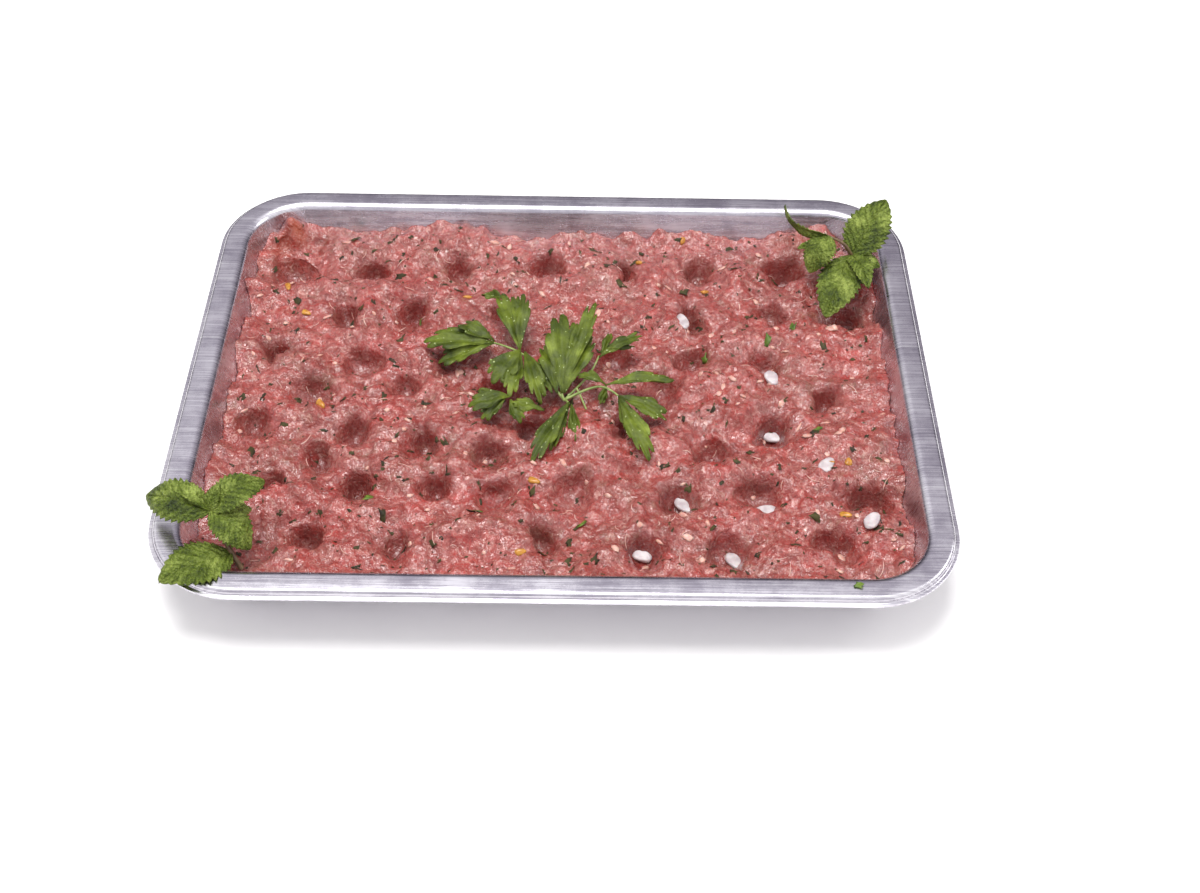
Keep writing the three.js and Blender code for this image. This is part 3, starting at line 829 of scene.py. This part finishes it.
def leaflet_relief(u, t):
    """A shallow groove along the midrib, in shares of the leaflet's width."""
    return -0.03 * t * exp(-((u / 0.2) ** 2))


def join(name, pieces):
    """Joins pieces into one object, with the materials of all of them."""
    only(pieces[0])
    for piece in pieces[1:]:
        piece.select_set(True)
    bpy.ops.object.join()
    whole = bpy.context.object
    whole.name = whole.data.name = name
    bpy.ops.object.shade_smooth()
    return whole


def blade(name, place_of, relief_of, across, along):
    """A flat blade from (0, 0) to (0, 1), 1 wide to each side, with its own UV map."""
    bpy.ops.mesh.primitive_grid_add(x_subdivisions=across, y_subdivisions=along, size=2)
    piece = started(name)
    for vertex in piece.data.vertices:
        u = vertex.co.x
        t = (vertex.co.y + 1) / 2
        vertex.co = (*place_of(u, t), relief_of(u, t))
    return piece


mint_blade = blade("mint_blade", mint_point, mint_relief, 24, 84)
parsley_blade = blade("parsley_blade", leaflet_point, leaflet_relief, 2 * (len(LEAFLET) - 1), 14)
report(mint_blade)
report(parsley_blade)


# %% Laying a leaf and a stem
def lay(template, base, tip, width, arch, fold, roll, ripple=0.9):
    """A copy of a blade from base to tip. Lengths are in mm; arch lifts its middle, fold its edges."""
    start = Vector(base)
    along = Vector(tip) - start
    length = along.length
    along.normalize()
    side = Vector((0, 0, 1)).cross(along).normalized()
    side = Matrix.Rotation(radians(roll), 3, along) @ side
    up = along.cross(side)
    leaf = template.copy()
    leaf.data = template.data.copy()
    bpy.context.collection.objects.link(leaf)
    seed = Vector(tip) * 0.37
    for vertex in leaf.data.vertices:
        x, t, z = vertex.co
        wave = ripple * noise.noise(Vector((2.2 * x, 3.0 * t, 0)) + seed) * min(1, 4 * t)
        rise = 4 * arch * t * (1 - t) + fold * abs(x) + z * width + wave
        point = start + along * (t * length) + side * (x * width / 2) + up * rise
        vertex.co = point * MM
    finish_with(leaf, "SOLIDIFY", thickness=BLADE_THICKNESS, offset=0)
    return leaf


def stem(points, radius, end_radius):
    """A round stem through points in mm: a path curve with a tapering section, made a mesh."""
    bpy.ops.curve.primitive_nurbs_path_add()
    path = bpy.context.object
    path.data.splines.clear()
    spline = path.data.splines.new("NURBS")
    spline.points.add(len(points) - 1)
    for i, (control, point) in enumerate(zip(spline.points, points)):
        control.co = (*(Vector(point) * MM), 1)
        share = i / (len(points) - 1)
        control.radius = 1 + (end_radius / radius - 1) * share
    spline.use_endpoint_u = True
    spline.order_u = min(3, len(points))
    spline.resolution_u = 6
    path.data.bevel_depth = radius * MM
    path.data.bevel_resolution = 3
    path.data.use_fill_caps = True
    only(path)
    bpy.ops.object.convert(target="MESH")
    return bpy.context.object

# %% [markdown]
# ### Leaf green
#
# A leaf's upper face is a deep green with a paler midrib. Painted light and shade lie over it: the
# quilted parts between the veins are painted lighter where they stand up, and darker down in the sunk
# veins. The blade's own UV map drives the veins, so they stay on the leaf however it bends. Leaves are
# thin, so some light comes through them.


# %% Leaf and stem finishes
def leaf_green(name, dark, mid, pale, veins, crinkle, gloss):
    """Leaf skin. veins: how they slant (across, along), how many there are and how clear they are."""
    slant_across, slant_along, vein_count, clearness = veins
    material, tree, shader = new_material(name)
    place = object_mm(tree)
    uv = add(tree, "ShaderNodeUVMap", {}).outputs[0]
    parts = add(tree, "ShaderNodeSeparateXYZ", {0: uv}).outputs
    side = calc(tree, "ABSOLUTE", calc(tree, "SUBTRACT", parts["X"], 0.5))
    upward = calc(tree, "MULTIPLY", parts["Y"], slant_along)
    slope = calc(tree, "MULTIPLY_ADD", side, slant_across, upward)
    phase = calc(tree, "MULTIPLY", slope, pi * vein_count)
    crest = calc(tree, "ABSOLUTE", calc(tree, "SINE", phase))
    rib = remap(tree, side, 0.012, 0.035, 1, 0)
    lines = calc(tree, "MAXIMUM", remap(tree, crest, 0, 0.25, 1, 0), rib)
    puff = remap(tree, cloud(tree, place, 1.1)["Fac"], 0.3, 0.7, 0, crinkle)
    mottle = cloud(tree, place, 0.1, 6, 0.6)["Fac"]
    # Painted light and shade: where the quilting and the crinkled puffs stand up the green is lighter, and down in
    # the veins it is darker.
    quilt_shading_and_mottle = calc(tree, "MULTIPLY_ADD", crest, 0.5 * clearness, mottle)
    tone = calc(tree, "MULTIPLY_ADD", puff, 0.12, quilt_shading_and_mottle)
    green = ramp(tree, tone, (0.42, dark), (0.6, mid), (0.8, pale))
    height = calc(tree, "MULTIPLY_ADD", lines, -2 * clearness, puff)
    feed(tree, shader, {
        "Base Color": mix(tree, calc(tree, "MULTIPLY", rib, clearness), green, colour(pale)),
        "Normal": raised(tree, height, 1.0, 0.5),
        "Roughness": remap(tree, mottle, 0, 1, gloss, gloss + 0.2),
        "Specular IOR Level": 0.35,
        "Subsurface Weight": 0.12,
        "Subsurface Radius": (0.7, 1.0, 0.2),
        "Subsurface Scale": 1 * MM,
    })
    return material


def mottled(name, low, high, scale, roughness, inside_light=0.0, detail=3, relief=0.4):
    """A moist food surface that varies between two colours, at a scale in 1/mm."""
    material, tree, shader = new_material(name)
    mottle = cloud(tree, object_mm(tree), scale, detail)["Fac"]
    feed(tree, shader, {
        "Base Color": ramp(tree, mottle, (0.35, low), (0.65, high)),
        "Normal": raised(tree, mottle, relief, 0.2),
        "Roughness": roughness,
        "Subsurface Weight": inside_light,
        "Subsurface Scale": 1 * MM,
    })
    return material


mint_green = leaf_green("mint_leaf", "#273403", "#546316", "#8f9d4a", (-0.62, 1, MINT_VEINS, 0.14), 1.1, 0.4)
mint_stalk = mottled("mint_stem", "#594630", "#786043", 0.5, 0.45, detail=4, relief=0.3)
parsley_green = leaf_green("parsley_leaf", "#374304", "#596615", "#839135", (1, 0, 7, 0.05), 0.2, 0.45)
parsley_stalk = mottled("parsley_stem", "#6c7f39", "#94a25f", 0.5, 0.45, detail=4, relief=0.3)


def sprig(name, node, template, green, skin, leaves, stems):
    """A sprig: its leaves and stems joined, in place of its CAD solid."""
    blades = [lay(template, *leaf) for leaf in leaves]
    for piece in blades:
        piece.data.materials.append(green)
    stalks = [stem(*points) for points in stems]
    for piece in stalks:
        piece.data.materials.append(skin)
    whole = join(name, blades + stalks)
    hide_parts(node)
    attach(whole, BODY)
    report(whole)
    return whole


# %% [markdown]
# ### Mint
#
# One mint top leans out over the front left corner, the other lies against the back right corner.
# The places are the CAD model's, in mm.

# %% The two mint tops
# Each leaf: base, tip, width, arch, fold and roll. The roll is in degrees.
FRONT_CROWN = (-126, -86, 41)
FRONT_NODE = (-119, -95, 27)
sprig(
    "mint_top_front", "mint_front", mint_blade, mint_green, mint_stalk,
    [
        (FRONT_CROWN, (-151.5, -77, 38), 16, 7, -2, -25),
        (FRONT_CROWN, (-108, -73, 43), 14, 6, -1, 10),
        (FRONT_CROWN, (-112, -94, 29), 15, 5, -2, 0),
        (FRONT_CROWN, (-114, -77, 32), 12, 2, -1, 0),
        (FRONT_CROWN, (-141, -78, 44), 7, 2, 3, 0),
        (FRONT_CROWN, (-123, -79, 48), 6, 2, 0, 0),
        (FRONT_NODE, (-142, -111, 31), 21, 3, -1, 0),
    ],
    [([(-116, -97, 21), FRONT_NODE, (-123, -90, 34), FRONT_CROWN], 1.1, 0.7)],
)

BACK_CROWN = (117, 75, 40)
BACK_NODE = (127, 72, 32)
sprig(
    "mint_top_back", "mint_back", mint_blade, mint_green, mint_stalk,
    [
        (BACK_NODE, (142, 91, 48), 20, 3, -2, 5),
        (BACK_NODE, (114, 43, 22), 19, 5, -2, 0),
        (BACK_NODE, (132, 51, 32), 10, 3, 1, 0),
        (BACK_NODE, (139, 67, 30), 11, 1, 0, 0),
        (BACK_CROWN, (108, 64, 29), 14, 5, -2, 0),
        (BACK_CROWN, (103, 73, 35), 7, 0, 0, 0),
        (BACK_CROWN, (99, 98, 39), 9, -6, 1, 62),
    ],
    [([(133, 76, 24), (130, 73, 29), BACK_NODE, (123, 73, 39), BACK_CROWN], 0.9, 0.6)],
)

# %% [markdown]
# ### Parsley
#
# Flat parsley: each leaflet is a fan of lobes that share one stalk. The sprig lies in the middle.

# %% The parsley sprig
ROOT = (2, -9, 22)
LEFT_FORK = (-17, 15, 27)
RIGHT_FORK = (19, -4, 26)
LOBE_FOLD = 0.6
LOBE_RIPPLE = 1.6

# Each lobe: base, tip, width and arch, in mm.
LOBES = [
    ((-28, 20, 26), (-58, 21, 25), 14, 2), ((-28, 20, 26), (-51, 11, 22), 12, 2),
    ((-28, 21, 26), (-44, 28, 28), 9, 2), (LEFT_FORK, (-26, 44, 32), 11, 3),
    ((-25, 41, 32), (-34, 46, 29), 7, 1), (LEFT_FORK, (-17, 43, 33), 8, 3),
    (LEFT_FORK, (-27, -3, 25), 14, 2), (LEFT_FORK, (-20, -10, 25), 9, 1),
    ((-20, -9, 24), (-37, -14, 22), 11, 2), ((-22, -10, 24), (-31, -20, 21), 8, 1),
    ((-20, -11, 24), (-15, -22, 22), 7, 1), ((-15, 14, 27), (-7, -13, 24), 9, 3),
    ((-6, -16, 23), (-20, -13, 24), 7, 1), ((1, -7, 24), (0, 30, 34), 15, 3),
    ((1, -7, 24), (14, 35, 36), 9, 3), ((2, -7, 24), (12, 20, 31), 12, 3),
    ((-1, -7, 24), (-7, 15, 30), 9, 2), ((-3, -7, 24), (-13, 11, 27), 8, 1),
    ((16, 11, 27), (34, 24, 28), 7, 2), ((16, 14, 27), (31, 19, 26), 5, 2),
    ((17, 12, 27), (21, 24, 29), 4, 1), (RIGHT_FORK, (47, -2, 27), 7, 3),
    (RIGHT_FORK, (7, -1, 28), 6, 2), (RIGHT_FORK, (17, -11, 22), 4, 0),
    ((24, -9, 25), (37, -40, 21), 10, 2), ((24, -9, 25), (44, -19, 22), 10, 2),
    ((24, -11, 25), (29, -27, 21), 5, 1), ((4, -13, 25), (-10, -42, 20), 9, 2),
    ((4, -13, 24), (-3, -35, 20), 6, 1), ((5, -14, 25), (7, -31, 21), 5, 1),
]
parsley_sprig = sprig(
    "parsley_sprig", "parsley", parsley_blade, parsley_green, parsley_stalk,
    [(*lobe, LOBE_FOLD, 0, LOBE_RIPPLE) for lobe in LOBES],
    [
        ([ROOT, (-8, 4, 26), LEFT_FORK, (-28, 20, 26)], 0.6, 0.4),
        ([ROOT, (1, -8, 23), (1, -6, 24)], 0.6, 0.4),
        ([ROOT, (9, -1, 24), (13, 4, 25), (16, 12, 27)], 0.5, 0.4),
        ([ROOT, (11, -6, 26), RIGHT_FORK, (24, -9, 25)], 0.6, 0.4),
        ([ROOT, (3, -10, 23), (4, -13, 24)], 0.5, 0.4),
        ([(7, -5, 25), (9, -9, 23.5), (11, -13, 21)], 0.4, 0.4),
    ],
)
for template in (mint_blade, parsley_blade):
    bpy.data.objects.remove(template)

# %% [markdown]
# ## What is mixed into the mince
#
# Chopped herbs, pepper seeds, bits of fat, strings of sinew and slivers of almond lie in the surface.
# Each kind is a small shape or a few, copied over the surface. One seeded random stream places them,
# so they lie the same way every time. A ray from above finds the surface, or one from the camera for
# the slivers. Pieces that would stand on end, or reach out over the slab's edge, are left out.

# %% Scattering
draw = random.Random(7)
RAY_FROM = 0.1  # metres up, well over everything
EDGE_MARGIN = 2 * MM
NEAR_LIP_LEVEL = 17 * MM
STEEPEST = 0.4  # upward part of the normal of the steepest face that a small piece lies on
ROOM = 0.5 * MM  # what is left between a small piece and the slab's edge


def faces_of(pieces):
    """The faces of some pieces, ready for a ray to find."""
    vertices, faces = [], []
    for piece in pieces:
        faces += [[i + len(vertices) for i in face.vertices] for face in piece.data.polygons]
        vertices += [vertex.co for vertex in piece.data.vertices]
    print("faces for a ray to find:", len(faces))
    return BVHTree.FromPolygons(vertices, faces)


surface = faces_of([mince, tray])


def ground(x, y, under):
    """The highest point at a place in mm, and the normal there."""
    return under.ray_cast(Vector((x * MM, y * MM, RAY_FROM)), Vector((0, 0, -1)))[:2]


def inside(x, y):
    """Whether a place in mm lies on the slab, a little in from its edge."""
    return edge_of(Vector((x, y, 0)) * MM)[0] > EDGE_MARGIN


def random_places(count, low=Vector((-HALF_X, -HALF_Y)), high=Vector((HALF_X, HALF_Y)), test=inside):
    """Random places in mm, between two corners, that pass a test."""
    places = []
    while len(places) < count:
        x = draw.uniform(low.x, high.x) / MM
        y = draw.uniform(low.y, high.y) / MM
        if test(x, y):
            places.append((x, y))
    return places


def near_lip(x, y, under):
    """The point that the camera sees towards a place in mm: the near lip, if that is a press."""
    return under.ray_cast(camera.location, Vector((x * MM, y * MM, NEAR_LIP_LEVEL)) - camera.location)[:2]


def lies_well(point, normal, length):
    """Whether a small piece can lie at a point: not on end, and not out over the slab's edge."""
    margin, _ = edge_of(point)
    return normal.z > STEEPEST and not 0 < margin < length / 2 + ROOM


def scatter(name, templates, places, sizes, sink, tilt, material, spin=pi, follow=1.0,
            find=ground, under=surface):
    """Joined copies of small shapes on a surface.

    places and sizes are in mm, sizes as ranges of length, width and height. sink is how far a piece
    is pushed in, as a share of its height, and raises it if negative. tilt and spin, in radians, are
    how far it leans and turns, and follow is how much it takes on the surface's slope.
    """
    shapes = [np.array([v.co for v in template.data.vertices]) for template in templates]
    faces = [tuple(p.vertices) for p in templates[0].data.polygons]
    vertices, polygons = [], []
    for x, y in places:
        point, normal = find(x, y, under)
        shape = draw.choice(shapes)
        size = np.array([draw.uniform(*span) for span in sizes]) * MM
        turn_round = Matrix.Rotation(draw.uniform(-spin, spin), 3, "Z")
        lean = Matrix.Rotation(draw.gauss(0, tilt), 3, "X")
        # Chosen after the random draws, so that a piece left out doesn't move the others.
        if find is ground and not lies_well(point, normal, size[0]):
            continue
        facing = Vector((0, 0, 1)).lerp(normal, follow)
        turn = facing.to_track_quat("Z", "Y").to_matrix() @ turn_round @ lean
        centre = np.array(point - normal * sink * size[2])
        placed = (shape * size) @ np.array(turn).T + centre
        polygons += [tuple(i + len(vertices) for i in face) for face in faces]
        vertices += placed.tolist()
    mesh = bpy.data.meshes.new(name)
    mesh.from_pydata(vertices, [], polygons)
    piece = bpy.data.objects.new(name, mesh)
    bpy.context.collection.objects.link(piece)
    mesh.materials.append(material)
    only(piece)
    bpy.ops.object.shade_smooth()
    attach(piece, BODY)
    for template in templates:
        bpy.data.objects.remove(template)
    report(piece)
    return piece


def lump(name, segments, rings, seed, rough):
    """An uneven ball, 1 across: the start of a seed, a bit of fat or a chip."""
    bpy.ops.mesh.primitive_uv_sphere_add(segments=segments, ring_count=rings, radius=0.5)
    piece = started(name)
    for vertex in piece.data.vertices:
        vertex.co *= 1 + rough * noise.noise(vertex.co * 3 + Vector((seed, 0, 0)))
    return piece


# %% Chopped herbs
def flakes(count):
    """Torn scraps of leaf, 1 across: small grids with ragged edges, cupped and given thickness."""
    made = []
    for seed in range(count):
        bpy.ops.mesh.primitive_grid_add(x_subdivisions=4, y_subdivisions=3, size=1)
        piece = started(f"flake_{seed}")
        for vertex in piece.data.vertices:
            ragged = noise.noise_vector(vertex.co * 2.6 + Vector((3.1 * seed, 0, 0)))
            vertex.co += Vector((0.55 * ragged.x, 0.55 * ragged.y, 0.6 * ragged.z))
        finish_with(piece, "SOLIDIFY", thickness=0.2, offset=0)
        made.append(piece)
    return made


herb_dark = mottled("chopped_herb", "#1f1805", "#413b10", 0.2, 0.75)
for name, shapes, count, sizes, tilt in (
    ("herb_flecks", 4, 400, [(0.9, 3.3), (0.7, 2.1), (0.4, 0.9)], 0.4),
    ("herb_specks", 2, 520, [(0.5, 1.4), (0.4, 0.9), (0.3, 0.6)], 0.4),
    ("herb_clumps", 3, 60, [(2.8, 4.8), (2, 3.2), (0.6, 1.4)], 0.3),
):
    scatter(name, flakes(shapes), random_places(count), sizes, 0.0, tilt, herb_dark)

herb_bright = mottled("fresh_herb_scrap", "#3c5418", "#667c26", 0.4, 0.5)
BRIGHT_SCRAPS = [  # the last one lies on the front rim
    (62, 25), (105, -23), (100, 39), (-116, 74), (88, 30), (-62, 47), (10, -70), (-30, -66), (-74, -58),
    (111, -108.5),
]
scatter("herb_scraps", flakes(3), BRIGHT_SCRAPS, [(2.5, 4.5), (1.8, 3), (0.8, 1.5)], -0.3, 0.2, herb_bright)


# %% Pepper seeds, almond, sinew and fat
def tapered(piece, share):
    """Narrows a ball towards +X, into the drop shape of a seed."""
    for vertex in piece.data.vertices:
        narrow = 1 - share * (vertex.co.x + 0.5)
        vertex.co.y *= narrow
        vertex.co.z *= narrow
    return piece


def sliced(piece, half):
    """Cuts a ball flat above and below, into the shape of a slice."""
    for vertex in piece.data.vertices:
        vertex.co.z = min(max(vertex.co.z, -half), half)
    return piece


def string(name):
    """A bent string, 1 long and 1 across, from a cylinder with rings along it."""
    bpy.ops.mesh.primitive_cylinder_add(vertices=5, radius=0.5, depth=1, end_fill_type="TRIFAN")
    piece = started(name)
    bpy.ops.object.mode_set(mode="EDIT")
    pick(piece, "edges", lambda edge: abs(edge.verts[0].co.z - edge.verts[1].co.z) > 0.5)
    bpy.ops.mesh.subdivide(number_cuts=7)
    bpy.ops.object.mode_set(mode="OBJECT")
    for vertex in piece.data.vertices:
        t = vertex.co.z
        taper = max(1 - (2 * t) ** 4, 0.2)
        vertex.co = (t, vertex.co.x * taper + 4 * sin(3 * t) * t, vertex.co.y * taper)
    return piece


SEEDS = [
    (-121, 60), (-111, 45), (-42, 58), (54, 97), (34, 80), (63, 64), (-9, -50), (-13, -87), (116, -38),
    (108, -39), (112, -66), (-98, -10),
]
seed_yellow = mottled("pepper_seed", "#9f6318", "#c8923b", 0.5, 0.3, 0.15)
seed_shape = tapered(lump("seed", 12, 8, 3, 0.2), 0.5)
scatter("pepper_seeds", [seed_shape], SEEDS, [(4.4, 5.6), (3.3, 4.2), (2, 2.6)], -0.1, 0.3, seed_yellow)

# Slivers of blanched almond lie at the near edge of a press, with their length across the view.
CHIPS = [(50, -60), (82, -63), (68, -88), (33, -85), (122, -67), (87, -23), (107, -39), (52, 44), (89, 10)]
almond_white = mottled("blanched_almond", "#aa9d9f", "#c8c0c0", 0.35, 0.35, 0.15)
chip_shape = sliced(lump("chip", 18, 12, 9, 0.2), 0.25)
scatter("almond_chips", [chip_shape], CHIPS, [(8.6, 10), (4.8, 5.8), (2.6, 3.2)], -0.25, 0.1, almond_white,
        spin=0.25, follow=0.15, find=near_lip)

# Thin strings of sinew lie in curls among the strands.
sinew = mottled("sinew", "#bf887d", "#d5b0a5", 0.5, 0.3, 0.2)
scatter("sinew_strings", [string("string")], random_places(200), [(3, 8), (0.3, 0.5), (0.3, 0.45)], -0.2, 0.1, sinew)

fat_pink = mottled("beef_fat", "#bf887a", "#d7b0a2", 0.5, 0.35, 0.3)
fat_shape = lump("fat", 10, 6, 5, 0.6)
fat_places = random_places(150) + [(135, 61), (117, 44)]
scatter("fat_bits", [fat_shape], fat_places, [(1.4, 4.8), (1.1, 3.2), (0.6, 1.2)], -0.1, 0.3, fat_pink)

# %% [markdown]
# ### Water on the parsley
#
# The parsley was rinsed, and fine drops still sit on its leaves. Each one is a flattened bead that
# catches the light.


# %% Drops
leaves = faces_of([parsley_sprig])
drop_places = random_places(130, *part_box("parsley"), lambda x, y: ground(x, y, leaves)[0])
# The clear drops are painted with the leaf's green as seen through them, made paler as a painted highlight for the
# light they catch.
water = mottled("water_drop", "#788841", "#b0ba83", 1.0, 0.06)
scatter("water_drops", [lump("drop", 8, 6, 2, 0.1)], drop_places, [(0.3, 1.0), (0.3, 0.9), (0.2, 0.4)], -0.1, 0.1,
        water, under=leaves)
